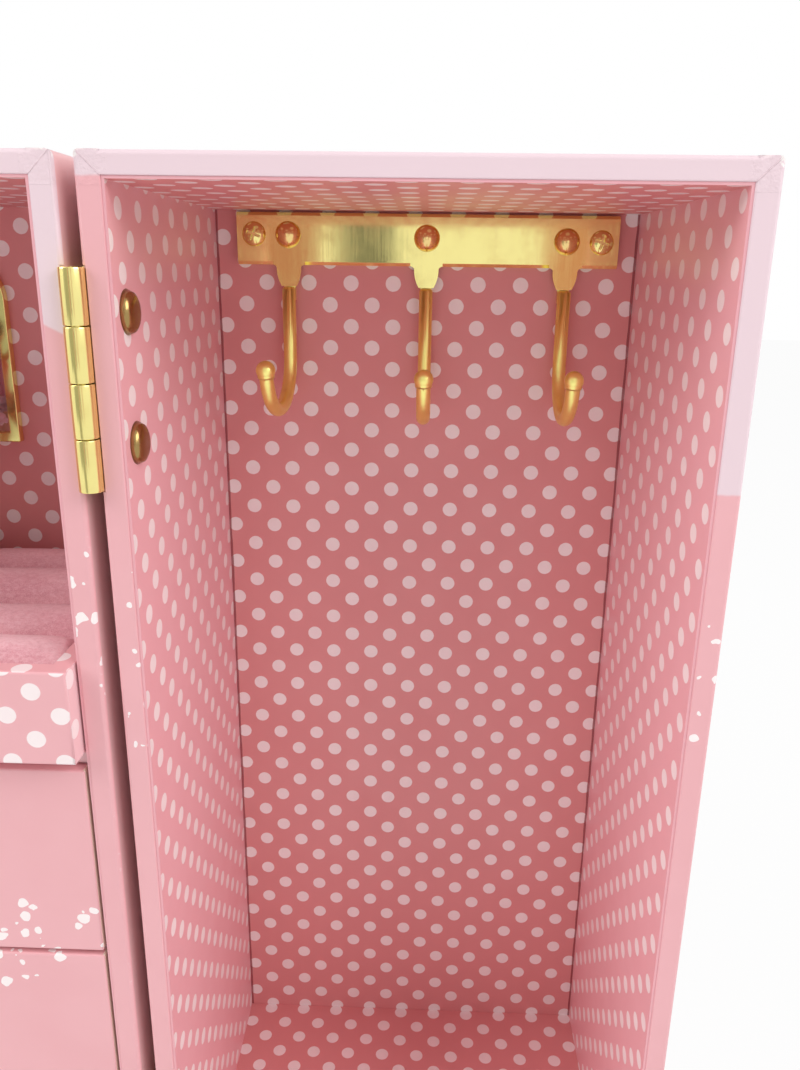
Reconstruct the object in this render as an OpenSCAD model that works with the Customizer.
// Upright music jewellery box: two hinged halves, one with a ring tray, three drawers and a
// dancer turned by a comb movement, the other an open wardrobe with a three-hook rail.
// Millimetres, +Z up, origin at the centre of the main half's base, fronts facing -Y.

/* [Cases] */
// Outer width of each half
case_w = 107.3; // [104:0.1:112]
// Outer height of both halves
case_h = 240; // [238:1:250]
// Depth from the rim to the back lining
inner_d = 72; // [70:1:80]
// Thickness of the wrapped side and back boards
board_t = 4.1; // [3.6:0.1:4.5]
// Thickness of the wrapped top and bottom boards
deck_t = 3.7; // [3.2:0.1:4.5]
// Thickness of the lining card
card_t = 0.5; // [0.3:0.1:0.8]
// Gap between the two opened halves
half_gap = 3; // [2.8:0.1:5]
// Rounding of the outer rim edges
rim_r = 0.8; // [0.6:0.1:1.6]

/* [Ring tray and drawers] */
// Height of the ring tray
tray_h = 18.6; // [16:0.2:22]
// How far the ring tray stands out at rest
tray_out = 4; // [3:0.5:6]
// Height of the shelf top above the base
shelf_z = 135.3; // [134:0.1:137]
// How far the ring pad's front roll stands above the tray
pad_rise = 0.8; // [0:0.1:2]
// Gap between drawer fronts
front_gap = 1.2; // [0.8:0.1:1.6]
// Thickness of a drawer front
front_t = 3; // [2.5:0.1:3.5]
// Thickness of the drawer sides and floors
drawer_t = 2; // [1.6:0.1:2.4]

/* [Hinges] */
// Length of a hinge
hinge_l = 36.4; // [34:0.4:40]
// Diameter of a hinge knuckle
knuckle_d = 4.1; // [3.6:0.1:4.3]
// Diameter of the hinge pin
pin_d = 1.6; // [1.4:0.1:1.8]
// Diameter of a rivet head
rivet_d = 7.6; // [6:0.2:8]

/* [Hook rail] */
// Length of the rail plate
rail_l = 87.9; // [84:0.1:90]
// Height of the rail plate
rail_h = 11.5; // [10:0.1:13]
// Distance between hook centres
hook_pitch = 32.1; // [30:0.1:33]
// Diameter of the hook wire
hook_d = 3.1; // [2.4:0.1:3.2]
// Width of the hook's bend between wire centres
hook_reach = 22.5; // [18:0.5:24]

/* [Music movement] */
// Number of comb teeth
note_n = 18; // [12:1:18]
// Radius of the pinned cylinder
cyl_r = 6.5; // [6:0.1:6.5]

/* [Dancer] */
// Radius of the skirt
skirt_r = 12.8; // [10:0.2:13]
// Height of the post above the shelf
stand_h = 22; // [21.8:0.1:24]

/* [Hidden] */
$fn = 48;

wall = board_t + card_t;
deck = deck_t + card_t;
half_d = inner_d + wall;
front_y = -half_d / 2;
back_y = half_d / 2;
lining_y = back_y - wall;
inner_w = case_w - 2 * wall;
door_x = case_w + half_gap;
rim_in = 0.3;
lining_set = 0.3;
shelf_set = 2;
card_gap = 0.3;
slip = 0.1;

shelf_t = 3.2;
divider_t = 1.8;
cover_t = 2;
cover_y = 7.6;
front_w = inner_w - 1.3;
box_w = inner_w - 4.1;
front_base = deck + 0.4;
front_top = shelf_z - shelf_t - 0.2;
front_h = (front_top - front_base - 2 * front_gap) / 3;
short_box_back = cover_y - 0.6;
long_box_back = lining_y - 0.8;
box_lift = 0.6;
box_drop = 2.4;
felt_t = 1.2;
felt_gap = 0.3;

hinge_x = case_w / 2 + half_gap / 2;
hinge_y = front_y - 0.5;
hinge_z = [30, case_h - 35.3];
leaf_t = 0.7;
leaf_w = 12;
knuckle_n = 4;
knuckle_l = hinge_l / knuckle_n;
rivet_y = front_y + 6.3;
rivet_dz = 11;
rivet_shank = 2.4;
rivet_rise = 1.8;
tail_rise = 0.5;

rail_x = door_x + 0.3;
rail_z = case_h - deck - 0.5 - rail_h;
rail_proud = 2.4;
plate_t = 1.2;
tab_w = 5.7;
tab_l = 4.8;
dome_d = 6;
dome_rise = 2.4;
screw_pitch = 80;
screw_d = 5.5;
hook_y = lining_y - 2.9;
hook_low = 191.6;
hook_sweep = 168;
rivet_z = rail_z + rail_h - 5.3;
row_fall = 0.4;
hook_drop = [-0.3, 1, 0.8];
hook_twist = [5, 0, 0];

// Gear train: the dancer turns once for a quarter turn of the barrel and five of the governor.
crown_n = 48;
pinion_n = 12;
wheel_n = 40;
gov_n = 8;
worm_n = 16;

post_x = 0;
post_y = lining_y - 15.5;
sleeve_r = 4;
arbor_r = 1.2;
barrel_z = 84;
barrel_r = 11.6;
bed_t = 2;
bed_y = lining_y - bed_t;
crown_m = 0.43;
crown_r = crown_m * crown_n / 2;
pinion_r = crown_m * pinion_n / 2;
crown_y = post_y + pinion_r;
pinion_z = barrel_z + crown_r;
cyl_z = 98;
cyl_l = 18;
wheel_m = 0.375;
wheel_z = cyl_z + cyl_l + 1;
wheel_t = 1.4;
gov_gap = 0.1;
gov_dist = wheel_m * (wheel_n + gov_n) / 2 + gov_gap;
gov_x = gov_dist * cos(30);
gov_y = post_y + gov_dist * sin(30);
gov_arbor_r = 0.6;
worm_m = 0.5;
worm_pitch = PI * worm_m;
worm_z = wheel_z + 4;
worm_x = gov_x + worm_m * worm_n / 2 + 1.35;
worm_core = 1.2;
worm_throw = 0.45;
bridge_z = wheel_z + 7;
bridge_t = 1.6;
comb_y = post_y;
comb_t = 1.2;
tooth_l = 9;
tip_gap = 0.35;
pin_rise = 0.45;
pin_w = 0.4;
key_y = back_y + 8;
stand_z = shelf_z + stand_h;

// ---------- shared shapes ----------

// Cross-section of a wrapped board, thickness along x and front edge at -y; the edge on the +x
// side is rounded by outer and the other one by inner.
module rim_profile(t, d, outer, inner) for (s = [0, 1]) mirror([s, 0]) {
    e = s == 0 ? outer : inner;
    translate([0, e - d / 2]) square([t / 2, d - e]);
    translate([0, -d / 2]) square([t / 2 - e, d / 2]);
    translate([t / 2 - e, e - d / 2]) circle(e);
}

module round_square(w, h, r) {
    for (a = [[w, h - 2 * r], [w - 2 * r, h]]) square(a, center = true);
    for (x = [-1, 1], y = [-1, 1]) translate([x * (w / 2 - r), y * (h / 2 - r)]) circle(r);
}

// Extrudes a profile drawn in (depth, height) along X.
module along_x(l) rotate([90, 0, 90]) linear_extrude(l, center = true) children();

// Extrudes an outline drawn in (x, z) from y0 to y0 + t.
module along_y(y0, t) translate([0, y0 + t, 0]) rotate([90, 0, 0]) linear_extrude(t) children();

// A cylinder along Y from y0 to y1.
module y_rod(r, y0, y1) translate([0, y0, 0]) rotate([-90, 0, 0]) cylinder(r = r, h = y1 - y0);

// A shallow dome of a given diameter and rise, flat side down.
module dome(d, rise) {
    r = (d * d / 4 + rise * rise) / (2 * rise);
    intersection() {
        translate([0, 0, rise - r]) sphere(r, $fn = 64);
        cylinder(d = d, h = rise);
    }
}

// Gear outline with straight-flanked teeth; thin is the running clearance across a tooth.
module gear2d(n, m, thin = 0.12) {
    r = n * m / 2;
    root = r - 1.2 * m;
    foot = root * 0.9;
    tip = r + 0.9 * m;
    tooth_a = 90 / n;
    foot_a = tooth_a * 1.5;
    tip_a = (tooth_a - thin / r * 90 / PI) * 0.45;
    circle(root, $fn = 64);
    for (i = [0 : n - 1]) rotate(i * 360 / n) polygon([
        [foot * cos(foot_a), -foot * sin(foot_a)], [tip * cos(tip_a), -tip * sin(tip_a)],
        [tip * cos(tip_a), tip * sin(tip_a)], [foot * cos(foot_a), foot * sin(foot_a)]]);
}

// ---------- the two halves ----------

// Five wrapped boards glued into an open-fronted case.
module board_case() intersection() {
    union() {
        for (s = [0, 1]) mirror([s, 0]) translate([(case_w - board_t) / 2, 0])
            linear_extrude(case_h) rim_profile(board_t, half_d, rim_r, rim_in);
        for (s = [0, 1]) translate([0, 0, case_h / 2]) mirror([0, 0, s])
            translate([0, 0, (deck_t - case_h) / 2]) along_x(case_w) rotate(-90)
                rim_profile(deck_t, half_d, rim_r, rim_in);
        translate([-case_w / 2, back_y - board_t, 0]) cube([case_w, board_t, case_h]);
    }
    translate([0, 0, case_h / 2]) along_y(-case_w, 2 * case_w) round_square(case_w, case_h, 1.2);
    translate([0, 0, -1]) linear_extrude(case_h + 2) round_square(case_w, half_d, rim_r);
}

// Dotted card folded round the four inner walls.
module side_lining() {
    d = inner_d - lining_set;
    translate([0, front_y + lining_set + d / 2, case_h / 2]) difference() {
        cube([inner_w + 2 * card_t, d, case_h - 2 * deck_t], center = true);
        cube([inner_w, d + 1, case_h - 2 * deck], center = true);
    }
}

module back_lining() {
    h = case_h - 2 * deck_t - 2 * card_gap;
    translate([-inner_w / 2 - card_t + card_gap, lining_y, deck_t + card_gap])
        cube([inner_w + 2 * (card_t - card_gap), card_t, h]);
}

// Rivet axes through the hinge-side wall; side is 1 on the main half and -1 on the other.
module at_rivets(side) for (z = hinge_z, s = [-1, 1])
    translate([hinge_x - side * half_gap / 2, rivet_y, z + s * rivet_dz])
        rotate([0, -90 * side, 0]) children();

module rivet_holes(side) at_rivets(side)
    translate([0, 0, -1]) cylinder(d = rivet_shank + slip, h = wall + 2);

// Shallow recesses in the rims for the knuckles.
module knuckle_recess() for (z = hinge_z) translate([hinge_x, hinge_y, z])
    cylinder(d = knuckle_d + 0.3, h = hinge_l + 0.4, center = true);

// Pockets for the closing magnets, cut from the inside of the free side wall.
magnet = [2.4, 3.4, 12];
module magnet_places(side) for (z = [70, case_h - 70])
    translate([side * (case_w / 2 - board_t), front_y + 2.2, z - magnet[2] / 2]) children();

module magnet_pocket(side) translate([side > 0 ? -0.01 : 0.01 - magnet[0], 0, 0]) cube(magnet);
module magnet_bar(side) translate([side > 0 ? 0 : -magnet[0] + 0.1, 0.05, 0.1])
    cube([magnet[0] - 0.1, magnet[1] - 0.1, magnet[2] - 0.2]);

// Screw holes of the movement, seen from the back.
bed_screws = [[-17, 62], [17, 62], [-17, 126], [17, 126]];
module bed_screw_holes(d) for (p = bed_screws)
    translate([p[0], 0, p[1]]) y_rod(d / 2, bed_y - 1, back_y + 1);

module key_hole(d) translate([0, 0, barrel_z]) y_rod(d / 2, lining_y - 5, back_y + 1);

module main_case() color("lightpink") difference() {
    board_case();
    rivet_holes(1);
    knuckle_recess();
    magnet_places(-1) magnet_pocket(-1);
    bed_screw_holes(2.6);
    key_hole(9);
}

module main_side_lining() color("palevioletred") difference() {
    side_lining();
    rivet_holes(1);
}

module main_back_lining() color("palevioletred") difference() {
    back_lining();
    bed_screw_holes(2.6);
    key_hole(9);
}

// Places of the rail's fasteners, a row that falls slightly to the right.
module at_row(x, falls) for (s = [-1, 1]) translate([rail_x + s * x, 0, rivet_z - s * falls]) children();
module at_screws() at_row(screw_pitch / 2, row_fall * screw_pitch / 2 / hook_pitch) children();
module at_hook_rivets() {
    at_row(hook_pitch, row_fall) children();
    translate([rail_x, 0, rivet_z]) children();
}

module rail_screw_holes(d, depth) at_screws() y_rod(d / 2, lining_y - 1, lining_y + depth);

module wardrobe_case() color("lightpink") difference() {
    translate([door_x, 0, 0]) board_case();
    rivet_holes(-1);
    knuckle_recess();
    translate([door_x, 0, 0]) magnet_places(1) magnet_pocket(1);
    rail_screw_holes(1.8, 3.2);
}

module wardrobe_side_lining() color("palevioletred") difference() {
    translate([door_x, 0, 0]) side_lining();
    rivet_holes(-1);
}

module wardrobe_back_lining() color("palevioletred") difference() {
    translate([door_x, 0, 0]) back_lining();
    rail_screw_holes(2.6, 3);
}

module main_magnets() color("dimgray") magnet_places(-1) magnet_bar(-1);
module wardrobe_magnets() color("dimgray") translate([door_x, 0, 0]) magnet_places(1) magnet_bar(1);

// ---------- shelves and cover ----------

module ring_shelf() color("lightpink") difference() {
    d = lining_y - front_y - shelf_set;
    translate([0, lining_y - d / 2, shelf_z - shelf_t / 2])
        along_x(inner_w) rotate(-90) rim_profile(shelf_t, d, 1, 1);
    translate([post_x, post_y, shelf_z - shelf_t - 1]) cylinder(r = sleeve_r + slip / 2, h = shelf_t + 2);
}

// A divider behind the gap over front number i, counted from the bottom.
module divider(i, back) {
    d = back - front_y - front_t - 0.6;
    z = front_base + i * front_h + (i - 0.5) * front_gap;
    translate([-inner_w / 2, back - d, z - divider_t / 2]) cube([inner_w, d, divider_t]);
}

module drawer_divider_upper() color("lightpink") divider(2, cover_y);
module drawer_divider_lower() color("lightpink") divider(1, lining_y);

module movement_cover() color("palevioletred") {
    z0 = front_base + front_h + front_gap / 2 + divider_t / 2;
    translate([-inner_w / 2, cover_y, z0]) cube([inner_w, cover_t, shelf_z - shelf_t - z0]);
}

// ---------- mirror ----------

mirror_z = 182;
mirror_w = 17;
mirror_h = 41.4;
glass_t = 1.4;
frame_rim = 1.5;
frame_t = 2.2;

// Arch on the line z = 0, larger than the glass by e all round.
module arch(e) {
    w = mirror_w + 2 * e;
    translate([-w / 2, -e]) square([w, mirror_h - mirror_w / 2 + e]);
    translate([0, mirror_h - mirror_w / 2]) circle(d = w);
}

module mirror_glass() color("lightsteelblue") translate([0, 0, mirror_z])
    along_y(lining_y - glass_t, glass_t) arch(0);

module mirror_frame() color("goldenrod") translate([0, 0, mirror_z]) difference() {
    along_y(lining_y - frame_t, frame_t) arch(frame_rim);
    along_y(lining_y - glass_t - slip / 2, frame_t) arch(slip / 2);
    along_y(lining_y - 2 * frame_t, 2 * frame_t) arch(-1);
}

// ---------- ring tray ----------

tray_w = inner_w - 0.9;
tray_wall = 3.5;
tray_rear = 1.6;
rear_drop = 5;
tray_edge = 0.5;
tray_floor = 2.4;
tray_z = shelf_z + 0.3;
tray_y0 = front_y - tray_out;
tray_y1 = lining_y - tray_out - 0.3;
notch_w = 2 * sleeve_r + 2;
notch_wall = 1.5;
notch_y = post_y - sleeve_r - tray_out - 0.8;
pad_gap = 0.15;
roll_lift = [0, -0.6, 1.6, 1.9];
roll_count = len(roll_lift);
roll_w = (tray_y1 - tray_y0 - tray_wall - tray_rear - 2 * pad_gap) / roll_count;
roll_y0 = tray_y0 + tray_wall + pad_gap;
pad_w = tray_w - 2 * tray_wall - 2 * pad_gap;
tray_knob_z = tray_z + tray_h * 0.45;
blind_depth = tray_wall - 0.7;

module notch2d(grow) translate([-notch_w / 2 - grow, notch_y - grow])
    square([notch_w + 2 * grow, tray_y1 - notch_y + 2 * grow + 1]);

// Open tray whose thin rear wall and post slot end below the pad's rolls.
module ring_tray() color("palevioletred") difference() {
    d = tray_y1 - tray_y0;
    room = tray_w - 2 * tray_wall;
    translate([0, (tray_y0 + tray_y1) / 2, 0]) intersection() {
        translate([0, 0, tray_z]) linear_extrude(tray_h) round_square(tray_w, d, tray_edge);
        translate([0, 0, tray_z + tray_h / 2]) along_x(tray_w) round_square(d, tray_h, tray_edge);
    }
    translate([0, 0, tray_z + tray_floor]) linear_extrude(tray_h) difference() {
        translate([-room / 2, tray_y0 + tray_wall]) square([room, d - tray_wall - tray_rear]);
        notch2d(notch_wall);
    }
    translate([-room / 2, tray_y0 + tray_wall, tray_z + tray_h - rear_drop]) cube([room, d, tray_h]);
    translate([0, 0, tray_z - 1]) linear_extrude(tray_h + 2) notch2d(0);
    translate([0, 0, tray_knob_z]) y_rod((knob_shank + slip) / 2, tray_y0 - 1, tray_y0 + blind_depth);
}

// Roll number i, counted from the front.
module pad_roll(i, w) {
    r = roll_w / 2 - pad_gap;
    y = roll_y0 + (i + 0.5) * roll_w;
    z0 = tray_z + tray_floor + 0.1;
    z1 = tray_z + tray_h + pad_rise + roll_lift[i] - r;
    translate([0, y, z1]) rotate([0, 90, 0]) cylinder(r = r, h = w, center = true);
    translate([-w / 2, y - r, z0]) cube([w, 2 * r, z1 - z0]);
}

module ring_pad() color("rosybrown") {
    gap = notch_w / 2 + notch_wall + 0.4;
    side = pad_w / 2 - gap;
    for (i = [0 : roll_count - 2]) difference() {
        pad_roll(i, pad_w);
        translate([0, 0, tray_z]) linear_extrude(2 * tray_h) notch2d(notch_wall + 0.4);
    }
    for (s = [-1, 1]) translate([s * (gap + side / 2), 0, 0]) pad_roll(roll_count - 1, side);
}

// ---------- drawers ----------

front_edge = 0.5;
knob_shank = 2.4;
knob_len = 7.5;
knob_r = 3.1;
neck_l = 3.2;
nut_d = 4.4;
nut_t = 1.4;

// A turned brass knob on the front face at y0, at height z; its shank reaches into the panel
// and on a drawer takes a nut inside the box.
module knob(y0, z, reach, nut = true) translate([0, y0, z]) rotate([90, 0, 0]) {
    rotate_extrude() polygon([
        [0, 0], [2.6, 0], [2.6, 0.7], [1.5, 1.3], [1.3, 2.4], [1.7, neck_l], [0, neck_l]]);
    translate([0, 0, knob_len - knob_r]) sphere(knob_r);
    translate([0, 0, -reach]) cylinder(d = knob_shank, h = reach + neck_l - 0.2);
    if (nut) translate([0, 0, -reach - nut_t]) cylinder(d = nut_d, h = nut_t, $fn = 6);
}

function front_z(i) = front_base + i * (front_h + front_gap);

// A front panel with softly rounded wrapped edges.
module front_panel(i) difference() {
    z = front_z(i) + front_h / 2;
    intersection() {
        translate([0, 0, z]) along_y(front_y, front_t) round_square(front_w, front_h, front_edge);
        translate([0, front_y + front_t, front_z(i)]) linear_extrude(front_h)
            round_square(front_w, 2 * front_t, front_edge);
        translate([0, front_y + front_t, z]) along_x(front_w) round_square(2 * front_t, front_h, front_edge);
    }
    translate([0, 0, z]) y_rod((knob_shank + slip) / 2, front_y - 1, front_y + front_t + 1);
}

// The open box behind front i, reaching back to y = back.
module drawer_box(i, back) difference() {
    y0 = front_y + front_t;
    h = front_h - box_lift - box_drop;
    translate([-box_w / 2, y0, front_z(i) + box_lift]) cube([box_w, back - y0, h]);
    translate([-box_w / 2 + drawer_t, y0 + drawer_t, front_z(i) + box_lift + drawer_t])
        cube([box_w - 2 * drawer_t, back - y0 - 2 * drawer_t, h]);
    translate([0, 0, front_z(i) + front_h / 2]) y_rod((knob_shank + slip) / 2, y0 - 1, y0 + drawer_t + 1);
}

module drawer_felt(i, back) {
    y0 = front_y + front_t + drawer_t + felt_gap;
    w = box_w - 2 * drawer_t - 2 * felt_gap;
    translate([-w / 2, y0, front_z(i) + box_lift + drawer_t])
        cube([w, back - drawer_t - felt_gap - y0, felt_t]);
}

module drawer_knob(i) knob(front_y, front_z(i) + front_h / 2, front_t + drawer_t);

module drawer_box_top() color("lightpink") drawer_box(2, short_box_back);
module drawer_box_middle() color("lightpink") drawer_box(1, short_box_back);
module drawer_box_bottom() color("lightpink") drawer_box(0, long_box_back);
module drawer_front_top() color("pink") front_panel(2);
module drawer_front_middle() color("pink") front_panel(1);
module drawer_front_bottom() color("pink") front_panel(0);
module drawer_felt_top() color("rosybrown") drawer_felt(2, short_box_back);
module drawer_felt_middle() color("rosybrown") drawer_felt(1, short_box_back);
module drawer_felt_bottom() color("rosybrown") drawer_felt(0, long_box_back);
module drawer_knob_top() color("goldenrod") drawer_knob(2);
module drawer_knob_middle() color("goldenrod") drawer_knob(1);
module drawer_knob_bottom() color("goldenrod") drawer_knob(0);
module tray_knob() color("goldenrod") knob(tray_y0, tray_knob_z, blind_depth - slip, false);

// ---------- hinges ----------

// One leaf of a hinge; keep lists its knuckles, counted from the bottom.
module leaf(side, keep) {
    x0 = hinge_x - side * (half_gap / 2 - leaf_t / 2);
    clear = knuckle_d / 2 + 0.35;
    end_gap = 0.1;
    difference() {
        union() {
            translate([x0 - leaf_t / 2, hinge_y + clear, -hinge_l / 2])
                cube([leaf_t, leaf_w - clear, hinge_l]);
            for (k = keep) translate([hinge_x, hinge_y, -hinge_l / 2 + k * knuckle_l + end_gap]) {
                cylinder(d = knuckle_d, h = knuckle_l - 2 * end_gap);
                translate([x0 - hinge_x - leaf_t / 2, 0, 0])
                    cube([leaf_t, clear + 0.5, knuckle_l - 2 * end_gap]);
            }
        }
        translate([hinge_x, hinge_y, -hinge_l]) cylinder(d = pin_d + slip, h = 2 * hinge_l);
        for (s = [-1, 1]) translate([x0, rivet_y, s * rivet_dz]) rotate([0, 90, 0])
            cylinder(d = rivet_shank + slip, h = 2 * leaf_t, center = true);
    }
}

module hinge_leaves_main() color("gold") for (z = hinge_z) translate([0, 0, z]) leaf(1, [1, 3]);
module hinge_leaves_door() color("gold") for (z = hinge_z) translate([0, 0, z]) leaf(-1, [0, 2]);

module hinge_pins() color("gold") for (z = hinge_z) translate([hinge_x, hinge_y, z])
    cylinder(d = pin_d, h = hinge_l - 0.4, center = true);

// Domed head inside the wall, shank through card, board and leaf, and a low tail in the gap.
module rivets(side) at_rivets(side) {
    grip = wall + leaf_t;
    translate([0, 0, wall]) dome(rivet_d, rivet_rise);
    translate([0, 0, -leaf_t - 0.1]) cylinder(d = rivet_shank, h = grip + 0.2);
    translate([0, 0, -leaf_t - tail_rise]) cylinder(d = 4, h = tail_rise);
}

module hinge_rivets_main() color("darkgoldenrod") rivets(1);
module hinge_rivets_door() color("darkgoldenrod") rivets(-1);

// ---------- hook rail ----------

rail_front = lining_y - rail_proud;
rail_bevel = 0.7;
tab_side_r = 7.8;
tab_side_z = -0.8;
tang_w = 4.2;
neck_w = 2.6;
cap_r = 2.1;
shank_r = 1.2;

// Tab under a hook, with bulging sides that narrow to its foot and small fillets at the rail.
module tab2d() {
    side_x = tab_side_r - tab_w / 2;
    intersection() {
        translate([-tab_w / 2, -tab_l]) square([tab_w, tab_l + 1]);
        translate([side_x, tab_side_z]) circle(tab_side_r);
        translate([-side_x, tab_side_z]) circle(tab_side_r);
    }
    for (s = [-1, 1]) difference() {
        translate([s * (tab_w / 2 + 0.4), 0]) square([1, 2], center = true);
        translate([s * (tab_w / 2 + 0.9), -1]) circle(1);
    }
}

// Pressed channel: a flat face with bevelled long edges turned back to the wall, and three tabs.
module hook_rail() color("gold") difference() {
    union() {
        translate([rail_x, 0, rail_z]) along_x(rail_l) polygon([
            [lining_y, 0], [rail_front + 0.6, 0], [rail_front, rail_bevel],
            [rail_front, rail_h - rail_bevel], [rail_front + 0.6, rail_h],
            [lining_y, rail_h], [lining_y, rail_h - plate_t],
            [rail_front + plate_t, rail_h - plate_t], [rail_front + plate_t, plate_t], [lining_y, plate_t]]);
        for (s = [-1 : 1]) translate([rail_x + s * hook_pitch, 0, rail_z]) along_y(rail_front, plate_t) {
            tab2d();
            translate([-tab_w / 2, 0]) square([tab_w, plate_t]);
        }
    }
    for (s = [-1 : 1])
        translate([rail_x + s * hook_pitch - tab_w / 2 - 0.2, rail_front + plate_t, rail_z - 1])
            cube([tab_w + 0.4, rail_proud, plate_t + 1]);
    at_hook_rivets() y_rod(shank_r + 0.1, rail_front - 1, lining_y);
    at_screws() y_rod(1.4, rail_front - 1, lining_y);
}

// Wire hook: a flat tang behind the rail, a neck under the tab, a round bend and a capped tip.
module hook(i) {
    rod = hook_d / 2;
    turn = hook_reach / 2;
    bend_z = hook_low - hook_drop[i] + turn;
    neck_z = rail_z - tab_l - 0.15;
    tang = rail_proud - plate_t - 0.1;
    tang_y = lining_y - tang - 0.05;
    difference() {
        translate([-tang_w / 2, tang_y, rail_z + 1.4]) cube([tang_w, tang, rail_h - 4]);
        translate([0, 0, rivet_z - (i - 1) * row_fall]) y_rod(shank_r + 0.05, lining_y - 3, lining_y + 1);
    }
    translate([-neck_w / 2, tang_y, neck_z - 3]) cube([neck_w, tang, rail_z + 2 - neck_z + 3]);
    translate([-1.1, lining_y - 2.2, neck_z - 3]) cube([2.2, 2, 2.9]);
    translate([0, hook_y, bend_z]) rotate(-hook_twist[i]) {
        cylinder(r = rod, h = neck_z - bend_z - 0.45);
        translate([0, 0, neck_z - bend_z - 0.46]) cylinder(r1 = rod, r2 = rod - 0.4, h = 0.4);
        translate([0, -turn, 0]) {
            rotate([-90, 0, 90]) rotate_extrude(angle = hook_sweep) translate([turn, 0]) circle(rod);
            rotate([-hook_sweep, 0, 0]) translate([0, turn, 0]) {
                translate([0, 0, -0.5]) cylinder(r = rod + 0.3, h = 1);
                translate([0, 0, -1.1]) sphere(cap_r);
            }
        }
    }
}

module hooks() color("gold") for (i = [0 : 2]) translate([rail_x + (i - 1) * hook_pitch, 0, 0]) hook(i);

module hook_rivets() color("goldenrod") at_hook_rivets() {
    translate([0, rail_front, 0]) rotate([90, 0, 0]) dome(dome_d, dome_rise);
    y_rod(shank_r, rail_front - 0.1, lining_y - 0.1);
}

slot_l = 3.2;
slot_w = 0.6;
module rail_screws() color("goldenrod") at_screws() {
    difference() {
        translate([0, rail_front, 0]) rotate([90, 0, 0]) dome(screw_d, 1.4);
        for (a = [20, 110]) rotate([0, a, 0])
            translate([-slot_l / 2, rail_front - 2, -slot_w / 2]) cube([slot_l, 1.5, slot_w]);
    }
    y_rod(0.85, rail_front - 0.1, lining_y + 3);
    y_rod(1.3, rail_front - 0.1, lining_y - 0.1);
}

// ---------- music movement ----------

comb_base_x = -20;
comb_base_w = 7;
wind_r = 2;

// Bedplate with the block that carries the comb.
module movement_bedplate() color("silver") difference() {
    block_y = comb_y + comb_t / 2;
    union() {
        translate([0, 0, 94]) along_y(bed_y, bed_t) round_square(42, 72, 3);
        translate([comb_base_x - comb_base_w / 2, block_y, cyl_z - 0.5])
            cube([comb_base_w, bed_y - block_y + 0.5, cyl_l + 1]);
    }
    translate([0, 0, barrel_z]) y_rod(wind_r + slip / 2, bed_y - 1, lining_y + 1);
    bed_screw_holes(2.1);
    comb_screw_holes(1);
}

module comb_screw_holes(r) for (z = [3.5, cyl_l - 3.5])
    translate([comb_base_x, 0, cyl_z + z]) y_rod(r, comb_y - 2, comb_y + 8);

// Steel comb: one tooth per track, bass teeth longer than treble ones.
module music_comb() color("lightgray") difference() {
    tip_x = -(cyl_r + pin_rise + tip_gap);
    pitch = cyl_l / note_n;
    base_x = comb_base_x - comb_base_w / 2;
    translate([base_x, comb_y - comb_t / 2, cyl_z]) cube([tip_x - base_x, comb_t, cyl_l]);
    for (s = [-1, 1]) translate([tip_x - tooth_l, comb_y + s * (comb_t / 2 + 0.25) - comb_t / 2, cyl_z - 1])
        cube([tooth_l + 1, comb_t, cyl_l + 2]);
    for (i = [1 : note_n - 1]) {
        slot = tooth_l - 3 * i / note_n;
        translate([tip_x - slot, comb_y - comb_t, cyl_z + (i - 0.14) * pitch])
            cube([slot + 1, 2 * comb_t, 0.28 * pitch]);
    }
    comb_screw_holes(1.05);
}

module comb_screws() color("gray") for (z = [3.5, cyl_l - 3.5])
    translate([comb_base_x, comb_y - comb_t / 2, cyl_z + z]) difference() {
        union() {
            rotate([90, 0, 0]) cylinder(d = 3.8, h = 1.2);
            y_rod(0.95, -0.1, 6);
        }
        translate([-2.5, -1.4, -slot_w / 2]) cube([5, 0.8, slot_w]);
    }

module movement_screws() color("gray") for (p = bed_screws) translate([p[0], 0, p[1]]) {
    y_rod(1, bed_y + 0.2, back_y + 0.1);
    translate([0, back_y, 0]) rotate([-90, 0, 0]) difference() {
        dome(5, 1.3);
        for (a = [45, 135]) rotate(a) translate([-1.4, -0.25, 0.7]) cube([2.8, 0.5, 1]);
    }
}

// U-shaped bridge that carries the lower end of the cylinder arbor in front of the barrel.
module lower_bridge() color("silver") difference() {
    half = barrel_r + 5;
    y0 = post_y - 3.4;
    translate([-half, y0, pinion_z - 3.3]) cube([2 * half, bed_y - y0, bridge_t]);
    translate([-half + 2, crown_y - 0.8, pinion_z - 4]) cube([2 * half - 4, bed_y, 3]);
    translate([post_x, post_y, pinion_z - 5]) cylinder(r = arbor_r + slip / 2, h = 5);
}

// Plate on the bedplate that carries the upper ends of the cylinder and governor arbors.
module top_bridge() color("silver") difference() {
    union() {
        translate([-4, post_y, bridge_z]) cube([8, bed_y - post_y, bridge_t]);
        translate([post_x, post_y, bridge_z]) cylinder(r = 4, h = bridge_t);
        translate([0, gov_y - 2, bridge_z]) cube([gov_x, bed_y - gov_y + 2, bridge_t]);
        translate([gov_x, gov_y, bridge_z]) cylinder(r = 2, h = bridge_t);
        translate([-4, bed_y - bridge_t, bridge_z - 5]) cube([8, bridge_t, 5]);
    }
    translate([post_x, post_y, bridge_z - 1]) cylinder(r = arbor_r + slip / 2, h = 4);
    translate([gov_x, gov_y, bridge_z - 1]) cylinder(r = gov_arbor_r + slip / 2, h = 4);
}

// Track i carries two pins; their angles keep away from the comb at every quarter turn.
function pin_angle(i, k) = 90 * ((3 * i + 2 * k) % 4) + 14 + (37 * i + 53 * k) % 62;

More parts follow.
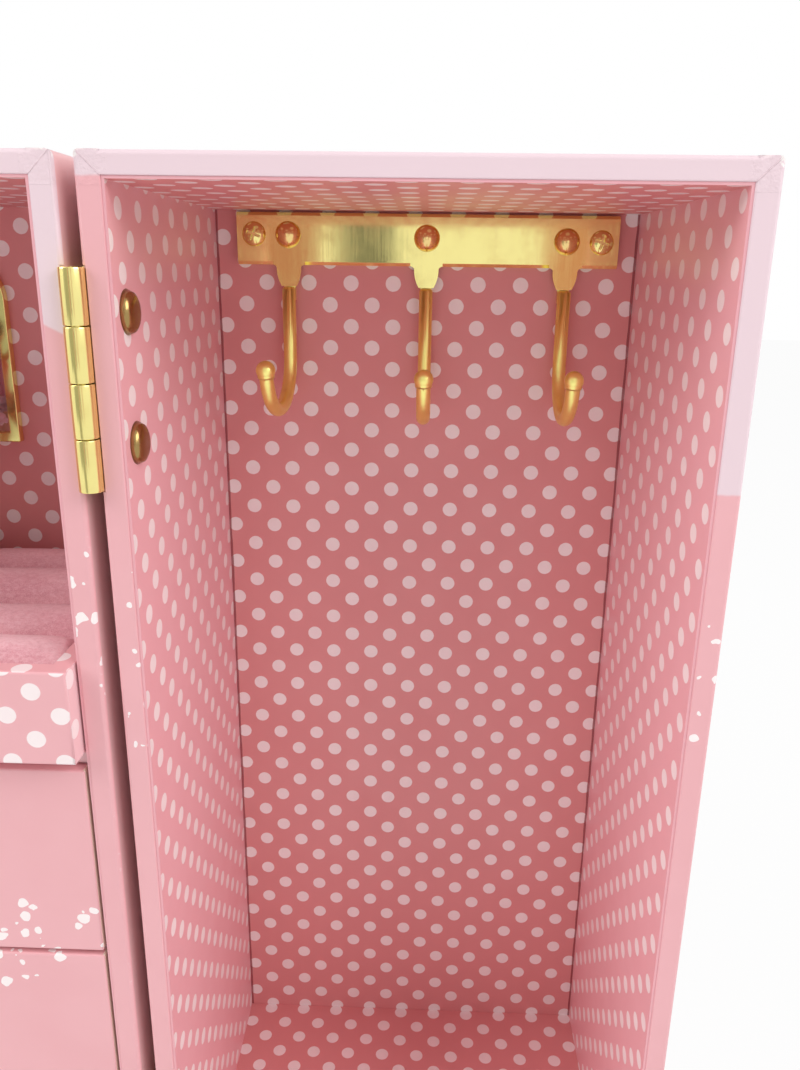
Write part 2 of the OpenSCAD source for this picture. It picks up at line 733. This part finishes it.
// Pinned cylinder with its driving pinion, top wheel and the long arbor that turns the dancer.
module pinned_cylinder() color("gold") translate([post_x, post_y, 0]) {
    translate([0, 0, cyl_z]) cylinder(r = cyl_r, h = cyl_l);
    for (i = [0 : note_n - 1], k = [0, 1]) rotate(pin_angle(i, k))
        translate([cyl_r - pin_w, -pin_w / 2, cyl_z + (i + 0.5) * cyl_l / note_n - pin_w / 2])
            cube([pin_w + pin_rise, pin_w, pin_w]);
    translate([0, 0, wheel_z]) linear_extrude(wheel_t) rotate(30) gear2d(wheel_n, wheel_m);
    translate([0, 0, pinion_z - 1.1]) linear_extrude(2.2) rotate(90) gear2d(pinion_n, crown_m);
    translate([0, 0, pinion_z + 1]) cylinder(r = 2, h = cyl_z - pinion_z);
    translate([0, 0, pinion_z - 3.8]) cylinder(r = arbor_r, h = stand_z + 1 - pinion_z + 3.8);
    translate([0, 0, wheel_z - 1.2]) cylinder(r = 3, h = 1.4);
}

// Barrel that holds the mainspring, with crown teeth cut on its front rim.
module spring_barrel() color("goldenrod") translate([0, 0, barrel_z]) difference() {
    face = crown_y + 0.52;
    union() {
        y_rod(barrel_r, face, bed_y - 1.3);
        y_rod(barrel_r + 0.6, bed_y - 2.6, bed_y - 1.5);
        for (i = [0 : crown_n - 1]) rotate([0, (i + 0.5) * 360 / crown_n, 0]) translate([0, 0, crown_r - 1])
            linear_extrude(2) polygon([[-0.38, face + 0.3], [-0.38, face], [-0.2, crown_y - 0.4],
                [0.2, crown_y - 0.4], [0.38, face], [0.38, face + 0.3]]);
    }
    y_rod(wind_r + slip / 2, face - 2, bed_y);
    difference() {
        y_rod(8.6, face - 1, face + 0.5);
        y_rod(5, face - 2, face + 1);
    }
}

module barrel_nut() color("silver") translate([0, 0, barrel_z]) difference() {
    y_rod(4, crown_y - 1, crown_y + 0.42, $fn = 6);
    y_rod(wind_r, crown_y - 2, crown_y + 1);
}

// Winding arbor: runs through the barrel, the bedplate and the back of the case.
module winding_arbor() color("silver") translate([0, 0, barrel_z]) {
    y_rod(wind_r, crown_y - 1.6, back_y + 7);
    y_rod(3.4, bed_y - 1.2, bed_y - 0.1);
}

// Winged winding key screwed on the arbor's end.
module winding_key() color("gold") translate([0, 0, barrel_z]) difference() {
    stem_y = back_y + 1.5;
    wing_t = 1.8;
    wing_r = 6;
    union() {
        y_rod(3.2, stem_y, key_y + 1.5);
        y_rod(4, stem_y, stem_y + 1.2);
        translate([0, 0, -wing_t / 2]) linear_extrude(wing_t) difference() {
            union() {
                for (s = [-1, 1]) translate([s * (wing_r + 0.6), key_y + 5.4]) circle(wing_r);
                translate([-wing_r / 2, key_y - 1]) square(wing_r);
            }
            for (s = [-1, 1]) translate([s * (wing_r + 1), key_y + 5.6]) circle(wing_r * 0.55);
        }
    }
    y_rod(wind_r, back_y, back_y + 7);
}

// Bent bracket with two cheeks for the worm and a lug for the governor wheel.
module governor_bracket() color("silver") difference() {
    arm_x = worm_x + 4.6;
    front = gov_y - 6;
    lug_z = wheel_z - 2.8;
    union() {
        translate([arm_x, front, worm_z - 2.5]) cube([1.2, bed_y - front, 5]);
        for (y = [front, gov_y + 4.6]) translate([worm_x - 2, y, worm_z - 2.5])
            cube([arm_x - worm_x + 2.5, 1, 5]);
        translate([gov_x - 1.2, bed_y - 1.2, worm_z - 9]) cube([arm_x - gov_x + 2.4, 1.2, 9]);
        translate([gov_x, gov_y, lug_z]) cylinder(r = 1.6, h = 1.2);
        translate([gov_x - 1.2, gov_y, lug_z]) cube([2.8, bed_y - gov_y, 1.2]);
    }
    translate([worm_x, 0, worm_z]) y_rod(gov_arbor_r + slip / 2, front - 1, bed_y - 1.8);
    translate([gov_x, gov_y, wheel_z - 4]) cylinder(r = gov_arbor_r + slip / 2, h = 4);
}

module governor_wheel() color("goldenrod") translate([gov_x, gov_y, 0]) {
    translate([0, 0, wheel_z - 3.2]) cylinder(r = gov_arbor_r, h = bridge_z + bridge_t - wheel_z + 3.6);
    translate([0, 0, wheel_z - 0.3]) linear_extrude(2) rotate(210 + 180 / gov_n) gear2d(gov_n, wheel_m);
    translate([0, 0, worm_z - 0.6]) linear_extrude(1.2) gear2d(worm_n, worm_m);
    translate([0, 0, worm_z - 1.6]) cylinder(r = 1.4, h = 3);
}

// Worm with the two-bladed air brake on its front end.
module governor_worm() color("silver") translate([worm_x, 0, worm_z]) {
    turns = 4;
    y_rod(gov_arbor_r, gov_y - 10.4, gov_y + 5.4);
    translate([0, gov_y - turns * worm_pitch / 2, 0]) rotate([-90, 0, 0])
        linear_extrude(turns * worm_pitch, twist = -360 * turns, slices = 10 * turns, $fn = 12)
            translate([worm_throw, 0]) circle(worm_core, $fn = 12);
    for (s = [0, 180]) rotate([0, s, 0]) translate([0.3, gov_y - 10, -0.25]) cube([3.9, 3.2, 0.5]);
    y_rod(1, gov_y - 10.2, gov_y - 6.6);
}

// ---------- dancer ----------

module post_sleeve() color("goldenrod") translate([post_x, post_y, 0]) difference() {
    union() {
        translate([0, 0, shelf_z - shelf_t]) cylinder(r = sleeve_r, h = stand_z - 0.3 - shelf_z + shelf_t);
        translate([0, 0, shelf_z - shelf_t - 1.2]) cylinder(r = 6.5, h = 1.2);
    }
    translate([0, 0, shelf_z - shelf_t - 2]) cylinder(r = arbor_r + slip / 2, h = 40);
}

stand_t = 1.5;
foot_z = stand_z + stand_t;
module dancer_stand() color("goldenrod") translate([post_x, post_y, stand_z]) difference() {
    rotate_extrude() polygon([[0, 0], [6.5, 0], [6.5, 0.6], [5.6, 1.2], [2, stand_t], [0, stand_t]]);
    translate([0, 0, -1]) cylinder(r = arbor_r, h = 2);
}

// Joints of the figure, measured from the toe of the standing leg.
toe = [0, 0, 0.6];
ankle = [0, 0, 4.2];
knee = [-0.3, -0.2, 15];
hip = [-1.5, 0, 28];
far_hip = [1.5, 0, 28];
far_knee = [8.2, -1.2, 18.6];
far_ankle = [1.6, -1.6, 14.8];
far_toe = [0.9, -1.8, 12.2];
waist = [0, 0, 33];
chest = [0, 0, 39];
shoulder = 3.6;
shoulder_z = 41.4;
elbow = [6.4, -1.6, 47.6];
wrist = [4.2, -2.6, 54.6];
hand = [1.4, -2.8, 58.6];
head_z = 48;

module limb(a, b, ra, rb) hull() {
    translate(a) sphere(ra, $fn = 14);
    translate(b) sphere(rb, $fn = 14);
}

// Dancer on one pointe, the other foot at the knee, arms in a ring above the head.
module dancer_figure() color("bisque") translate([post_x, post_y, foot_z]) {
    limb(toe, ankle, 0.55, 0.85);
    limb(ankle, knee, 0.85, 1.3);
    limb(knee, hip, 1.3, 1.9);
    limb(far_hip, far_knee, 1.9, 1.3);
    limb(far_knee, far_ankle, 1.2, 0.8);
    limb(far_ankle, far_toe, 0.8, 0.5);
    limb([0, 0, 29], waist, 2.6, 2);
    limb(waist, chest, 2, 2.7);
    limb([0, 0, 40], [0, 0, 44.6], 1.6, 1.1);
    translate([0, 0, head_z]) sphere(3, $fn = 20);
    translate([0, 1.6, head_z + 3]) sphere(1.5, $fn = 14);
    for (s = [-1, 1]) {
        limb([s * shoulder, 0, shoulder_z], [s * elbow[0], elbow[1], elbow[2]], 0.95, 0.7);
        limb([s * elbow[0], elbow[1], elbow[2]], [s * wrist[0], wrist[1], wrist[2]], 0.7, 0.5);
        limb([s * wrist[0], wrist[1], wrist[2]], [s * hand[0], hand[1], hand[2]], 0.5, 0.35);
        limb([s * shoulder, 0, shoulder_z], [0, 0, 40], 0.95, 1.8);
    }
}

module dancer_skirt() color("mistyrose") translate([post_x, post_y, foot_z + 29.8]) difference() {
    rotate_extrude() polygon([
        [0, 0.6], [3, 0], [skirt_r, -1.8], [skirt_r, -0.2], [7, 1.6], [3.4, 2.4], [0, 2.6]]);
    cylinder(r = 2.9, h = 12, center = true);
}

main_case();
main_side_lining();
main_back_lining();
ring_shelf();
drawer_divider_upper();
drawer_divider_lower();
movement_cover();
main_magnets();
mirror_frame();
mirror_glass();
ring_tray();
ring_pad();
tray_knob();
drawer_box_top();
drawer_box_middle();
drawer_box_bottom();
drawer_front_top();
drawer_front_middle();
drawer_front_bottom();
drawer_felt_top();
drawer_felt_middle();
drawer_felt_bottom();
drawer_knob_top();
drawer_knob_middle();
drawer_knob_bottom();
hinge_leaves_main();
hinge_leaves_door();
hinge_pins();
hinge_rivets_main();
hinge_rivets_door();
wardrobe_case();
wardrobe_side_lining();
wardrobe_back_lining();
wardrobe_magnets();
hook_rail();
hooks();
hook_rivets();
rail_screws();
movement_bedplate();
lower_bridge();
top_bridge();
music_comb();
comb_screws();
movement_screws();
pinned_cylinder();
spring_barrel();
barrel_nut();
winding_arbor();
winding_key();
governor_bracket();
governor_wheel();
governor_worm();
post_sleeve();
dancer_stand();
dancer_figure();
dancer_skirt();
